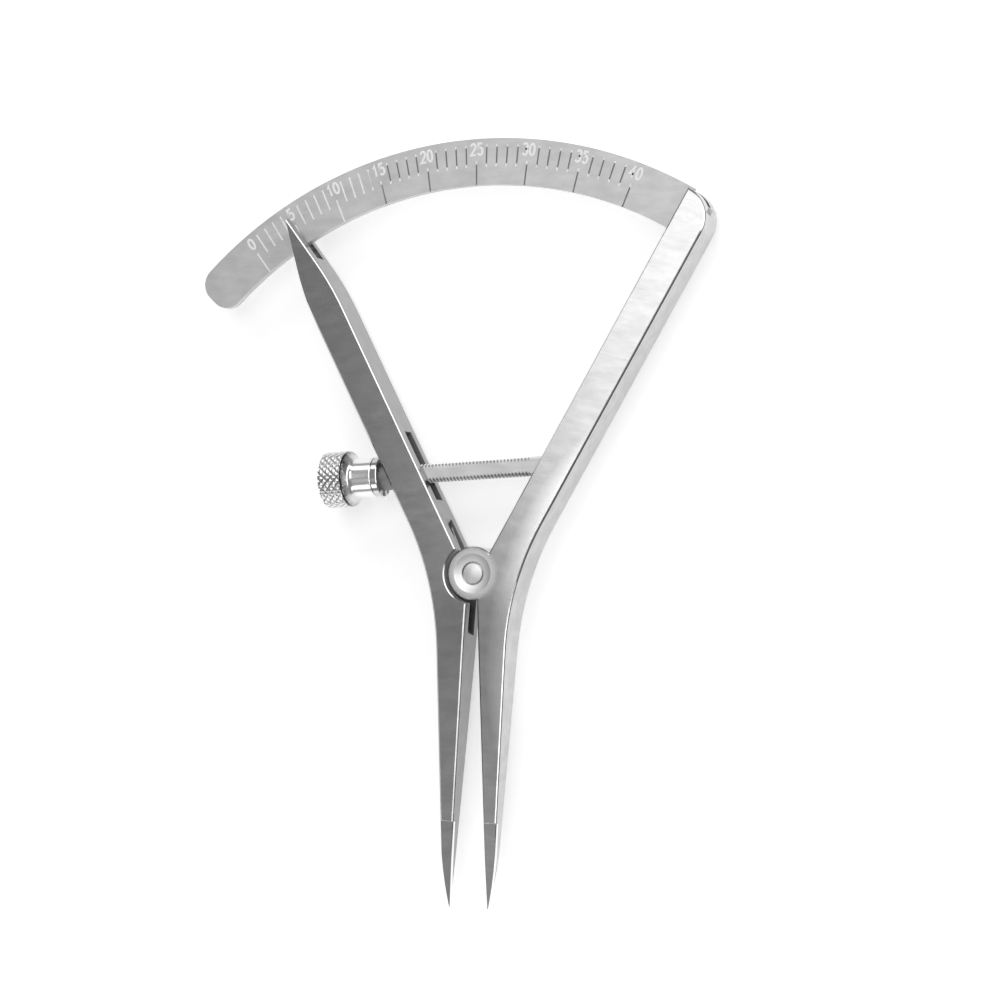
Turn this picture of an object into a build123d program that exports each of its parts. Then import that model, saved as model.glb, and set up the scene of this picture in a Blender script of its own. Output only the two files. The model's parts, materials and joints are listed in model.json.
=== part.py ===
from build123d import *
import os
from math import asin, atan, atan2, cos, degrees, radians, sin, sqrt, tan

# A pocket measuring caliper in brushed stainless steel, lying on its back.
# Two arms turn on one pin. Below it they are needle-pointed legs, above it one arm carries a
# graduated arc and the other a pointer. A nut on a flat-sided screw draws the arms together
# against a torsion spring, which opens the points.
#
# The origin is on the pivot axis in the plane of the arms' back faces, +Y runs up between the
# arms and +Z out of the graduated face. Lengths are millimetres, angles are degrees.
# Each arm is drawn as the left-hand one, in its own frame: pivot at the origin, needle point
# straight down, middle of its thickness at z = 0. The scale arm is then mirrored.

# Arms
arm_thickness = 4.8
arm_width = 4.12
arm_inner_offset = 0.62         # inner face of the upper arm, outward from the pivot axis
arm_lean = 32.05                # upper arm off the line from pivot to needle point
outer_bend_radius = 35.0        # bend of the outer edge past the joint
edge_chamfer = 0.2
overcut = 1.0                   # cuts run this far past the face they leave by

# Legs
leg_length = 40.4               # pivot to needle point
leg_root_width = 4.9            # outer edge of the leg at the pivot's height
leg_shoulder_width = 1.45       # and where the needle point starts
leg_inner_offset = 0.55         # inner edge of the leg at the pivot's height
needle_length = 6.5
needle_bulge_depth = 0.12       # the ground outer edge stands out from its chord by this much
needle_end = 0.08               # flat left on the very point
needle_gap = 0.02               # each point stays this far off the middle when closed
leg_taper_start = 5.2           # below the pivot the leg starts to thin
leg_taper_blend = 150.0
grind_start = 30.0              # below the pivot the ground point starts
grind_thickness_before = 2.2
grind_thickness_after = 1.96

# Opening
rest_opening = 6.9              # angle between the legs as drawn
scale_span = 40.0               # last graduation, and the widest opening of the points
graduation_step = 1.0

# Lap joint
cheek_radius = 3.25
recess_radius = 3.65
lap_gap = 0.04                  # between the two cheeks
pocket_radius = 2.05            # room for the spring's coil in each cheek
pocket_depth = 1.0
dish_radius = 2.4               # shallow polished dish round the pin's head
dish_depth = 0.22

# Pivot pin
pin_radius = 1.0
pin_running_fit = 0.05
pin_head_radius = 1.2
pin_head_height = 0.5
pin_head_dome = 0.18
pin_head_bore = 1.45
rivet_head_radius = 1.7
rivet_head_height = 0.7
fixed_fit = 0.01                # pins that sit tight in their hole

# Torsion spring
wire_diameter = 0.44
wire_sides = 8                  # the round wire is drawn with this many sides
coil_radius = 1.5               # to the middle of the wire
coil_full_turns = 2
leg_level = 0.56                # middle of each spring leg, off the middle of the joint
spring_leg_reach = 6.6          # end of each leg, along the arm
spring_seat_gap = 0.06
spring_groove_width = 0.8
spring_slot_width = 2.0
spring_slot_top = 7.9           # where the sawn slot runs out, up the arm
spring_slot_bottom = 7.4        # and down the leg
spring_slot_depth = 1.3

# Graduated arc
arc_outer_radius = 53.2
arc_width = 5.7
arc_thickness = 1.0
arc_tail = 9.6                  # past the zero line
arc_corner_radius = 2.3         # at its free end
arc_outer_wall = 0.95           # left of the scale arm outside the arc's slot
arc_slot_gap = 0.02
tongue_step = 1.1               # taken off the arc's outer edge inside the scale arm
tick_width = 0.2
tick_margin = 0.7               # from the arc's outer edge to the graduations
tick_length = 2.8
long_tick_margin = 2.7          # leaves room for the figures; long ones end at the inner edge
marks_per_long_one = 5
scale_top_margin = 0.3          # the scale arm ends this far inside the arc's outer edge
scale_top_radius = 3.8
rivet_radius = 0.6

# Pointer
pointer_reach = 3.6             # its point, past the arc's inner edge
pointer_taper = 10.5            # length of the taper
pointer_bend_radius = 40.0      # eases the taper into the arm
pointer_tip_offset = 2.5
pointer_end = 0.06
fork_gap = 0.5                  # each side of the arc
fork_depth = 2.5                # below the arc's inner edge

# Adjusting screw
screw_circle = 16.7             # both its pivots are this far from the joint's axis
screw_pin_depth = 1.75          # behind the scale arm's inner face
screw_pin_radius = 0.5
screw_radius = 1.2
screw_flats = 1.66
screw_end_inset = 0.8           # inside the nut's outer face
screw_slot_width = 2.0
screw_slot_inner_drop = 6.2     # slot in the pointer arm: below the circle at the inner face,
screw_slot_inner_rise = 3.3     # above it,
screw_slot_outer_drop = 2.3     # and the same at the outer face
screw_slot_outer_rise = 1.3
tongue_slot_width = 1.9
tongue_slot_drop = 3.4          # slot in the scale arm: below the circle at the inner face,
tongue_slot_rise = 1.5          # and above it
tongue_room = 0.3

# Washer and nut, measured along the screw outward from the pointer arm's outer face
washer_nose_radius = 1.7
washer_nose_length = 0.95
washer_seat_gap = 0.25
washer_neck = 1.05
washer_length = 2.15
washer_bore_gap = 0.07
nut_washer_gap = 0.05
stem_radius = 2.45
nut_head_radius = 3.5
nut_head_start = 4.9
nut_head_end = 9.15
nut_inner_chamfer = 0.65
nut_outer_chamfer = 0.5
nut_bore_gap = 0.05

half = arm_thickness / 2
arm_outer_offset = arm_inner_offset + arm_width
arc_inner_radius = arc_outer_radius - arc_width
arc_middle_radius = arc_outer_radius - arc_width / 2
tick_outer_radius = arc_outer_radius - tick_margin
scale_top = arc_outer_radius - scale_top_margin
pointer_tip = arc_inner_radius + pointer_reach
pointer_elbow = pointer_tip - pointer_taper
fork_floor = arc_inner_radius - fork_depth
rest_turn = rest_opening / 2
lean = radians(arm_lean)


def arm_point(along, outward):
    """Point of an arm's own frame, given along the upper arm and outward from its pivot line."""
    return (-along * sin(lean) - outward * cos(lean), along * cos(lean) - outward * sin(lean))


def pointer_place(body):
    """Turns a part of the pointer arm from its own frame to where it lies."""
    return Pos(0, 0, half) * Rot(0, 0, -rest_turn) * body


def scale_place(body):
    """Mirrors a part of the scale arm and turns it to where it lies."""
    return Pos(0, 0, half) * Rot(0, 0, rest_turn) * mirror(body, about=Plane.YZ)


def leg_outer(down):
    """Point of the leg's straight outer edge, a distance below the pivot."""
    slope = (leg_root_width - leg_shoulder_width) / (leg_length - needle_length)
    return (slope * down - leg_root_width, -down)


def arm_outline(top):
    """Face of one arm. top runs from the upper end of its inner edge to that of its outer edge."""
    upper = arm_point(0, arm_outer_offset)
    lower, foot = leg_outer(0), leg_outer(leg_length)
    slope = (lower[0] - foot[0]) / leg_length
    corner_y = (lower[0] - upper[0] - upper[1] * tan(lean)) / (-tan(lean) - slope)
    corner = leg_outer(-corner_y)
    inner_crossing = (-leg_inner_offset, (leg_inner_offset * cos(lean) - arm_inner_offset) / sin(lean))
    outer = FilletPolyline(top @ 1, corner, foot, radius=outer_bend_radius)
    inner = Polyline(foot, (-needle_gap, -leg_length), inner_crossing, top @ 0)
    return make_face(Curve() + [outer, inner, top])


def needle_waste():
    """What is ground off the leg's outer edge to bring it to a point."""
    shoulder = Vector(*leg_outer(leg_length - needle_length))
    point = Vector(-needle_gap - needle_end, -leg_length)
    chord = point - shoulder
    outward = Vector(chord.Y, -chord.X).normalized()
    ground = ThreePointArc(shoulder, shoulder + chord / 2 + outward * needle_bulge_depth, point)
    below = point - Vector(0, overcut)
    outside = Polyline(point, below, (-leg_root_width, below.Y), (-leg_root_width, shoulder.Y), shoulder)
    return extrude(make_face(Curve() + [ground, outside]), amount=half, both=True)


def thickness_profile():
    """Bar along X whose section is the arm seen from the side."""
    above = scale_top
    before = grind_thickness_before / 2
    after = grind_thickness_after / 2
    taper = FilletPolyline(
        (above, half), (-leg_taper_start, half), (-grind_start, before), radius=leg_taper_blend
    )
    ground = Polyline((-grind_start, before), (-grind_start - (before - after), after))
    point = ThreePointArc(
        ground @ 1,
        ((ground @ 1).X * 0.5 - leg_length * 0.5, (after + needle_end / 2) * 0.5 + needle_end),
        (-leg_length, needle_end / 2),
    )
    floor = Polyline((-leg_length, needle_end / 2), (-leg_length, 0), (above, 0), (above, half))
    face = Plane.YZ * make_face(Curve() + [taper, ground, point, floor])
    upper = extrude(face, amount=scale_top, both=True)
    return upper + mirror(upper, about=Plane.XY)


def broken_edges(body):
    """Body with its front and back outline chamfered down to the ground points."""
    flats = [f for f in body.faces() if abs(f.normal_at().Z) > 0.9]
    chosen = []
    for face in flats:
        for edge in face.edges():
            shared = [f for f in flats if edge in f.edges()]
            middle = edge @ 0.5
            if len(shared) == 1 and middle.Y > -grind_start and edge.length > edge_chamfer * 2:
                chosen.append(edge)
    return chamfer(chosen, edge_chamfer)


def arm_blank(top):
    """One arm with its thinned leg and broken edges, before the joint is cut."""
    body = extrude(arm_outline(top), amount=half, both=True)
    return broken_edges(body & thickness_profile()) - needle_waste()


def drum(radius, low, high, at=(0, 0)):
    """Upright cylinder between two heights."""
    return Pos(at[0], at[1], (low + high) / 2) * Cylinder(radius, high - low)


def turned_cut(*section):
    """Tool turned about Z, from the radius and height of each corner of its half section."""
    return revolve(make_face(Plane.XZ * Polyline(*section, close=True)), axis=Axis.Z)


def slot_floor_circle():
    """Centre and radius of the saw that cut an arm's spring slot."""
    upper = Vector(*arm_point(spring_slot_top, arm_inner_offset))
    lower = Vector(-leg_inner_offset, -spring_slot_bottom)
    chord = upper - lower
    radius = (chord.length**2 / 4 + spring_slot_depth**2) / (2 * spring_slot_depth)
    inward = Vector(chord.Y, -chord.X).normalized()
    centre = (upper + lower) / 2 + inward * (radius - spring_slot_depth)
    return centre, radius


def spring_leg_end():
    """End of a spring leg in the arm's own frame, resting on the slot's floor."""
    centre, radius = slot_floor_circle()
    track = radius - wire_diameter / 2 - spring_seat_gap
    foot = Vector(*arm_point(spring_leg_reach, arm_inner_offset))
    return centre + (foot - centre).normalized() * track


def spring_tangent_angle():
    """Angle round the pin, in the arm's own frame, where a spring leg leaves the coil."""
    end = spring_leg_end()
    reach = sqrt(end.length**2 - coil_radius**2)
    return degrees(atan2(end.Y, end.X)) + degrees(atan2(reach, coil_radius))


def lap_joint(body, side):
    """Cuts an arm's half of the joint. side is 1 where its cheek is in front, -1 where it is behind."""
    face, lap = side * half, side * lap_gap / 2
    clear = face + side * overcut
    centre, radius = slot_floor_circle()
    saw = drum(radius, -spring_slot_width / 2, spring_slot_width / 2, at=(centre.X, centre.Y))
    recess = turned_cut(
        (0, lap),
        (recess_radius, lap),
        (recess_radius, side * edge_chamfer - face),
        (recess_radius + edge_chamfer + overcut, -clear),
        (0, -clear),
    )
    cheek = drum(cheek_radius, *sorted((lap, face)))
    cheek = chamfer(cheek.edges().group_by(Axis.Z)[-1 if side > 0 else 0], edge_chamfer)
    pocket = drum(pocket_radius, *sorted((lap, side * pocket_depth)))
    start = Vector(coil_radius, 0).rotate(Axis.Z, spring_tangent_angle())
    end = spring_leg_end()
    groove_depth = leg_level + wire_diameter / 2 + spring_seat_gap * 2
    run = end - start
    groove = Pos((start.X + end.X) / 2, (start.Y + end.Y) / 2, side * groove_depth / 2) * Rot(
        0, 0, degrees(atan2(run.Y, run.X))
    ) * Box(run.length, spring_groove_width, groove_depth)
    return body - saw - recess + cheek - pocket - groove


def riveted_hole():
    """The pin's running hole, opened out for the cone of its riveted back end."""
    bore = pin_radius + pin_running_fit
    flare = (rivet_head_radius - pin_radius) / rivet_head_height
    return turned_cut(
        (0, half + overcut),
        (bore, half + overcut),
        (bore, rivet_head_height - half),
        (bore + flare * (rivet_head_height + overcut), -half - overcut),
        (0, -half - overcut),
    )


def headed_hole():
    """The pin's tight hole, with room for its head and the polished dish round it."""
    bore = pin_radius + fixed_fit
    flare = (dish_radius - pin_head_bore) / dish_depth
    return turned_cut(
        (0, -half - overcut),
        (bore, -half - overcut),
        (bore, half - pin_head_height),
        (pin_head_bore, half - pin_head_height),
        (pin_head_bore, half - dish_depth),
        (pin_head_bore + flare * (dish_depth + overcut), half + overcut),
        (0, half + overcut),
    )


def screw_line():
    """The screw's two pivots in the part's frame: its cross pin, and the washer's seat."""
    pin_outward = arm_inner_offset + screw_pin_depth
    pin_along = sqrt(screw_circle**2 - pin_outward**2)
    seat_along = sqrt(screw_circle**2 - arm_outer_offset**2)
    pin = Vector(*arm_point(pin_along, pin_outward)).rotate(Axis.Z, -rest_turn)
    seat = Vector(*arm_point(seat_along, arm_outer_offset)).rotate(Axis.Z, -rest_turn)
    return Vector(-pin.X, pin.Y), seat


def along_screw(body, start):
    """Puts a part drawn along X from the origin on the screw's line, X pointing to the nut."""
    pin, seat = screw_line()
    run = seat - pin
    return Pos(start.X, start.Y, half) * Rot(0, 0, degrees(atan2(run.Y, run.X))) * body


def turned(points):
    """Solid turned about X from a half section that starts and ends on the axis."""
    return revolve(make_face(Polyline(*points, close=True)), axis=Axis.X)


def flatted_bar(start, end, radius, flats):
    """Round bar along X with a flat on its front and back."""
    middle, length = (start + end) / 2, end - start
    bar = Pos(middle, 0, 0) * Rot(0, 90, 0) * Cylinder(radius, length)
    return bar & (Pos(middle, 0, 0) * Box(length, radius * 2, flats))


def tick_angle(reading):
    """Angle that the pointer turns through as the points open from touching to a reading."""
    return 2 * degrees(asin(reading / (2 * leg_length)))


def zero_angle():
    """Direction of the zero line, from +X, as the caliper lies."""
    return 90 + arm_lean + degrees(atan(pointer_tip_offset / pointer_tip)) + rest_turn


def arm_angle(outward, radius):
    """Direction from the pivot, from +X, of a point on the scale arm at a radius."""
    return 90 - arm_lean + rest_turn - degrees(asin(outward / radius))


def arc_end_angle():
    """Direction of the arc's buried end, short of the scale arm's outer face."""
    return arm_angle(arm_outer_offset - arc_outer_wall, arc_inner_radius)


def arc_sector(inner, outer, start, end, thickness):
    """Ring sector about the pivot, in the middle of the arms' thickness."""
    face = make_face(
        Curve()
        + [
            CenterArc((0, 0), outer, start, end - start),
            Line(polar(outer, end), polar(inner, end)),
            CenterArc((0, 0), inner, start, end - start),
            Line(polar(inner, start), polar(outer, start)),
        ]
    )
    return Pos(0, 0, half) * extrude(face, amount=thickness / 2, both=True)


def polar(radius, angle):
    """Point at a radius and an angle from +X."""
    return (radius * cos(radians(angle)), radius * sin(radians(angle)))


def rivet_point():
    """Place of the rivet that holds the arc in the scale arm."""
    middle = (arm_inner_offset + arm_outer_offset) / 2
    return polar(arc_middle_radius, arm_angle(middle, arc_middle_radius))


def pointer_taper_edge(offset, tip_offset):
    """One edge of the pointer: up the arm at an offset, eased into the straight line to its tip."""
    corners = [(pointer_elbow - pointer_taper, offset), (pointer_elbow, offset), (pointer_tip, tip_offset)]
    return FilletPolyline(*[arm_point(*corner) for corner in corners], radius=pointer_bend_radius)


def pointer_waste():
    """What is cut off the pointer arm's outer side to bring its top to a point."""
    tip_offset = pointer_tip_offset + pointer_end / 2
    edge = pointer_taper_edge(arm_outer_offset, tip_offset)
    above, outside = pointer_tip + overcut, arm_outer_offset + overcut
    corners = [(above, tip_offset), (above, outside), (pointer_elbow - pointer_taper, outside)]
    around = Polyline(edge @ 1, *[arm_point(*corner) for corner in corners], edge @ 0)
    return extrude(make_face(Curve() + [edge, around]), amount=half, both=True)


def make_pointer_arm():
    inner_edge = pointer_taper_edge(arm_inner_offset, pointer_tip_offset - pointer_end / 2)
    across = Line(inner_edge @ 1, arm_point(pointer_tip, arm_outer_offset))
    top = Wire((Curve() + [inner_edge, across]).edges())
    body = arm_blank(top) - pointer_waste()
    body = lap_joint(body, -1)
    body -= riveted_hole()
    fork_length = pointer_tip + overcut - fork_floor
    fork = Pos(0, fork_floor + fork_length / 2, 0) * Box(
        (arm_outer_offset + overcut) * 2, fork_length, arc_thickness + fork_gap * 2
    )
    body -= Rot(0, 0, arm_lean) * fork
    corners = [
        (screw_circle - screw_slot_inner_drop, 0),
        (screw_circle - screw_slot_inner_drop, arm_inner_offset),
        (screw_circle - screw_slot_outer_drop, arm_outer_offset),
        (screw_circle - screw_slot_outer_drop, arm_outer_offset + overcut),
        (screw_circle + screw_slot_outer_rise, arm_outer_offset + overcut),
        (screw_circle + screw_slot_outer_rise, arm_outer_offset),
        (screw_circle + screw_slot_inner_rise, arm_inner_offset),
        (screw_circle + screw_slot_inner_rise, 0),
    ]
    slot = Polyline(*[arm_point(*corner) for corner in corners], close=True)
    body -= extrude(make_face(slot), amount=screw_slot_width / 2, both=True)
    seat_along = sqrt(screw_circle**2 - arm_outer_offset**2)
    seat = arm_point(seat_along, arm_outer_offset)
    body -= Pos(seat[0], seat[1], 0) * Sphere(washer_nose_radius + washer_seat_gap)
    return pointer_place(body)


def make_scale_arm():
    inner = arm_point(scale_top, arm_inner_offset)
    round_start = arm_point(scale_top, arm_outer_offset - scale_top_radius)
    round_end = arm_point(scale_top - scale_top_radius, arm_outer_offset)
    outward = (-cos(lean), -sin(lean))
    top = Curve() + [Line(inner, round_start), TangentArc(round_start, round_end, tangent=outward)]
    body = arm_blank(Wire(top.edges()))
    body = lap_joint(body, 1)
    body -= headed_hole()
    pin_outward = arm_inner_offset + screw_pin_depth
    pin = arm_point(sqrt(screw_circle**2 - pin_outward**2), pin_outward)
    tongue = screw_radius + tongue_room
    body -= drum(tongue, -tongue_slot_width / 2, tongue_slot_width / 2, at=pin)
    mouth = Polyline(
        arm_point(screw_circle - tongue_slot_drop, 0),
        arm_point(screw_circle - tongue_slot_drop, arm_inner_offset),
        (pin[0] + tongue * sin(lean), pin[1] - tongue * cos(lean)),
        (pin[0] - tongue * sin(lean), pin[1] + tongue * cos(lean)),
        arm_point(screw_circle + tongue_slot_rise, arm_inner_offset),
        arm_point(screw_circle + tongue_slot_rise, 0),
        close=True,
    )
    body -= extrude(make_face(mouth), amount=tongue_slot_width / 2, both=True)
    body -= drum(screw_pin_radius + fixed_fit, -half, half, at=pin)
    body = scale_place(body)
    body -= arc_sector(
        arc_inner_radius - arc_slot_gap,
        arc_outer_radius + arm_width,
        arc_end_angle() - degrees(arc_slot_gap / arc_inner_radius),
        arm_angle(-arm_width, arc_inner_radius),
        arc_thickness + 2 * arc_slot_gap,
    )
    return body - drum(rivet_radius + fixed_fit, 0, arm_thickness, at=rivet_point())


def make_scale_arc():
    zero = zero_angle()
    body = arc_sector(
        arc_inner_radius, arc_outer_radius, arc_end_angle(), zero + arc_tail, arc_thickness
    )
    free_corners = body.edges().filter_by(Axis.Z).sort_by(Axis.X)[:2]
    body = fillet(free_corners, arc_corner_radius)
    tongue_radius = arc_outer_radius - tongue_step
    body -= arc_sector(
        tongue_radius,
        arc_outer_radius + overcut,
        arc_end_angle() - degrees(overcut / arc_outer_radius),
        arm_angle(arm_inner_offset, tongue_radius),
        arc_thickness + overcut,
    )
    grooves = []
    for mark in range(round(scale_span / graduation_step) + 1):
        if mark % marks_per_long_one == 0:
            low, high = arc_inner_radius - overcut, arc_outer_radius - long_tick_margin
        else:
            low, high = tick_outer_radius - tick_length, tick_outer_radius
        turn = zero - tick_angle(mark * graduation_step)
        groove = Rot(45, 0, 0) * Box(high - low, tick_width / sqrt(2), tick_width / sqrt(2))
        level = half + arc_thickness / 2
        grooves.append(Rot(0, 0, turn) * Pos((low + high) / 2, 0, level) * groove)
    body -= grooves
    return body - drum(rivet_radius + fixed_fit, 0, arm_thickness, at=rivet_point())


def make_arc_rivet():
    return drum(rivet_radius, 0, arm_thickness, at=rivet_point())


def make_pivot_pin():
    head_floor = arm_thickness - pin_head_height
    dome_radius = (pin_head_radius**2 + pin_head_dome**2) / (2 * pin_head_dome)
    dome = Pos(0, 0, arm_thickness - dome_radius) * Sphere(dome_radius)
    riveted_end = Pos(0, 0, rivet_head_height / 2) * Cone(rivet_head_radius, pin_radius, rivet_head_height)
    head = drum(pin_head_radius, head_floor, arm_thickness) & dome
    return riveted_end + drum(pin_radius, rivet_head_height, head_floor) + head


def make_spring():
    tangent_angle = spring_tangent_angle() - rest_turn
    foot = spring_leg_end().rotate(Axis.Z, -rest_turn)
    pointer_foot = Vector(foot.X, foot.Y, half - leg_level)
    scale_foot = Vector(-foot.X, foot.Y, half + leg_level)
    turns = coil_full_turns + 1 + (180 - 2 * tangent_angle) / 360
    coil = Helix(2 * leg_level / turns, 2 * leg_level, coil_radius)
    coil = Pos(0, 0, half - leg_level) * Rot(0, 0, tangent_angle) * coil
    path = Wire([Line(pointer_foot, coil @ 0), coil, Line(coil @ 1, scale_foot)])
    section = Plane(origin=pointer_foot, z_dir=coil @ 0 - pointer_foot) * RegularPolygon(
        wire_diameter / 2, wire_sides
    )
    return sweep(section, path=path)


def make_screw_pin():
    pin, _ = screw_line()
    return drum(screw_pin_radius, 0, arm_thickness, at=(pin.X, pin.Y))


def make_adjusting_screw():
    pin, seat = screw_line()
    length = (seat - pin).length + nut_head_end - screw_end_inset
    rod = flatted_bar(-screw_radius, length, screw_radius, screw_flats)
    square_end = Pos(-screw_radius / 2, 0, 0) * Box(screw_radius, screw_radius * 4, screw_flats * 2)
    rod -= square_end - Cylinder(screw_radius, screw_flats * 2)
    rod -= Cylinder(screw_pin_radius + pin_running_fit, arm_thickness)
    return along_screw(rod, pin)


def make_seat_washer():
    _, seat = screw_line()
    nose_end = sqrt(washer_nose_radius**2 - washer_nose_length**2)
    nose_middle = (-washer_nose_length * 0.5, sqrt(washer_nose_radius**2 - washer_nose_length**2 / 4))
    cone_end = washer_neck + stem_radius - washer_nose_radius
    section = Curve() + [
        Line((-washer_nose_length, 0), (-washer_nose_length, nose_end)),
        ThreePointArc((-washer_nose_length, nose_end), nose_middle, (0, washer_nose_radius)),
        Polyline(
            (0, washer_nose_radius),
            (washer_neck, washer_nose_radius),
            (cone_end, stem_radius),
            (washer_length, stem_radius),
            (washer_length, 0),
            (-washer_nose_length, 0),
        ),
    ]
    body = revolve(make_face(section), axis=Axis.X)
    hole = flatted_bar(
        -washer_nose_length - overcut,
        washer_length + overcut,
        screw_radius + washer_bore_gap,
        screw_flats + 2 * washer_bore_gap,
    )
    return along_screw(body - hole, seat)


def make_knurled_nut():
    _, seat = screw_line()
    start = washer_length + nut_washer_gap
    neck_radius = nut_head_radius - nut_inner_chamfer
    bore = screw_radius + nut_bore_gap
    body = turned(
        [
            (start, bore),
            (start, stem_radius - nut_bore_gap),
            (start + nut_bore_gap, stem_radius),
            (nut_head_start, stem_radius),
            (nut_head_start, neck_radius),
            (nut_head_start + nut_inner_chamfer, nut_head_radius),
            (nut_head_end - nut_outer_chamfer, nut_head_radius),
            (nut_head_end, nut_head_radius - nut_outer_chamfer),
            (nut_head_end, bore + nut_outer_chamfer / 2),
            (nut_head_end - nut_outer_chamfer / 2, bore),
        ]
    )
    return along_screw(body, seat)


parts = {
    "scale_arm": make_scale_arm(),
    "pointer_arm": make_pointer_arm(),
    "scale_arc": make_scale_arc(),
    "arc_rivet": make_arc_rivet(),
    "pivot_pin": make_pivot_pin(),
    "spring": make_spring(),
    "screw_pin": make_screw_pin(),
    "adjusting_screw": make_adjusting_screw(),
    "seat_washer": make_seat_washer(),
    "knurled_nut": make_knurled_nut(),
}

os.makedirs("parts", exist_ok=True)
for name, body in parts.items():
    export_step(body, f"parts/{name}.step")
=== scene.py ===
import json
from math import acos, asin, atan2, cos, degrees, hypot, pi, radians, sin, sqrt

import bmesh
import bpy
from mathutils import Matrix, Vector


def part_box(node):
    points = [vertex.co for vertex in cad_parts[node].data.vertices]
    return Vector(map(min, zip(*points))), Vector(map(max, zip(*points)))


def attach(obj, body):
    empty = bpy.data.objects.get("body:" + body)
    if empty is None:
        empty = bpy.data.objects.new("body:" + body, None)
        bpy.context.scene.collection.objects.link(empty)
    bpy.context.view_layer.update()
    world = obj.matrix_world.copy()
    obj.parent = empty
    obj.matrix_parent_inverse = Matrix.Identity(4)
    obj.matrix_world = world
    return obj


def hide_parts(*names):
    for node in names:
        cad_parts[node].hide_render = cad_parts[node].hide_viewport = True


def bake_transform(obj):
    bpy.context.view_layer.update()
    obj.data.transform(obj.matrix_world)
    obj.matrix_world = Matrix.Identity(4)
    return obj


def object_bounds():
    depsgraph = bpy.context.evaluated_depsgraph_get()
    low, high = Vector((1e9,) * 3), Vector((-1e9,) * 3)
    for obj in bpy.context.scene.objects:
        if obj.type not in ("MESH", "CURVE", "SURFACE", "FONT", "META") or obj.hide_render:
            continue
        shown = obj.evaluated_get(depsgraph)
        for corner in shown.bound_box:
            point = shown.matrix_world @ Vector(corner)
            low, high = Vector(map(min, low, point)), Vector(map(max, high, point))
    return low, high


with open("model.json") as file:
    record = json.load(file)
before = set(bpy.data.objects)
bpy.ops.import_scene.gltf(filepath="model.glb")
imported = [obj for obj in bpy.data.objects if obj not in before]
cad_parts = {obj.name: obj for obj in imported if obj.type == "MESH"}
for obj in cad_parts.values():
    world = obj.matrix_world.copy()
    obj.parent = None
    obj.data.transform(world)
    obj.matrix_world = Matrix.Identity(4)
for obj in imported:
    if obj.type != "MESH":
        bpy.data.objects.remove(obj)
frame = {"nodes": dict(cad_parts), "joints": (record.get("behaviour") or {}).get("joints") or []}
cad_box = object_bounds()

# Looks of a measuring caliper in brushed steel. Everything is placed from the frame: the pivot
# and the screw's line come from the joints, the levels of the arms and the arc from their boxes.
# Sizes written here are millimetres times MM, angles are degrees, and the studio is in metres.
MM = 0.001

joints = {joint["name"]: joint for joint in frame["joints"]}
pivot = Vector(joints["arm_pivot"]["pos_m"])
screw_pin = Vector(joints["screw_swing"]["pos_m"])
washer_seat = Vector(joints["nut_spin"]["pos_m"])
to_nut = (washer_seat - screw_pin).normalized()
arm_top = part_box("scale_arm")[1].z
arc_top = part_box("scale_arc")[1].z

# Camera, in pixels of the photograph and millimetres
picture_width = 1000
focal_length = 3000             # in pixels
sensor_width = 36.0
camera_distance = 363.9 * MM
camera_across = 2.486 * MM
camera_up = 8.975 * MM
camera_forward = (-0.3658, 0.0610, -0.9287)
camera_right = (0.9304, 0.0, -0.3665)
camera_near = 10 * MM           # nothing nearer than this is drawn
caliper_turn = 2.0              # how far the caliper lies clockwise of the camera's upright

# Meshes
crisp_angle = 32                # edges sharper than this stay crisp
weld_distance = 0.0001 * MM     # points nearer than this are one point

# Knurled nut, along the screw from the washer's seat
stem_start = 2.20 * MM
stem_radius = 2.45 * MM
neck_start = 4.55 * MM          # the stem swells into the head from here
neck_round = 0.7 * MM
neck_sweep = 65                 # degrees of the neck's round
neck_steps = 10
relief_start = 5.5 * MM         # narrow groove between the neck and the knurling
relief_drop = 0.35 * MM
shoulder_drop = 0.12 * MM
knurl_start = 5.8 * MM
head_end = 9.15 * MM
head_radius = 3.5 * MM
outer_chamfer = 0.5 * MM
nut_edge = 0.06 * MM            # small break on the plain edges of nut and washer
nut_bore = 1.25 * MM
knurl_count = 26
knurl_depth = 0.11 * MM
steps_per_ridge = 12            # points round the head for each ridge
steps_along = 84                # rows of points along the knurling

# Washer, along the screw from its seat
nose_radius = 1.7 * MM
nose_length = 0.95 * MM
nose_steps = 12
step_start = 1.33 * MM
washer_end = 2.15 * MM
hole_radius = 1.27 * MM
hole_flat = 0.9 * MM            # half its width across the flats
hole_steps = 24                 # points round a quarter

# Screw, along its line from the cross pin
screw_radius = 1.2 * MM
screw_flats = 1.66 * MM
thread_pitch = 0.45 * MM
thread_depth = 0.22 * MM
thread_start = 3.4 * MM
thread_light = 0.4              # share of the thread's depth that is as light as the flats; deeper than this a painted shade starts
edge_steps = 14                 # points round each threaded edge
steps_per_pitch = 8

# Spring
wire_radius = 0.22 * MM
coil_radius = 1.5 * MM
coil_full_turns = 2
coil_steps = 150
wire_sides = 12
leg_level = 0.56 * MM           # of the wire's legs, above and below the pivot

# Graduations and figures on the arc
scale_span = 40
leg_length = 40.4 * MM
zero_direction = 128.25         # from +X
figure_every = 5
reading_slack = 0.1             # in steps from one figure to the next
figure_radius = 51.9 * MM       # middle of the figures
figure_height = 1.4 * MM
figure_width = 0.62 * MM
figure_step = 0.9 * MM          # from one figure of a number to the next
stroke_width = 0.28 * MM
stroke_rise = 0.012 * MM
same_place = 1e-6 * MM          # ends of a stroke that close it
sharpest_mitre = 0.5

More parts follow.
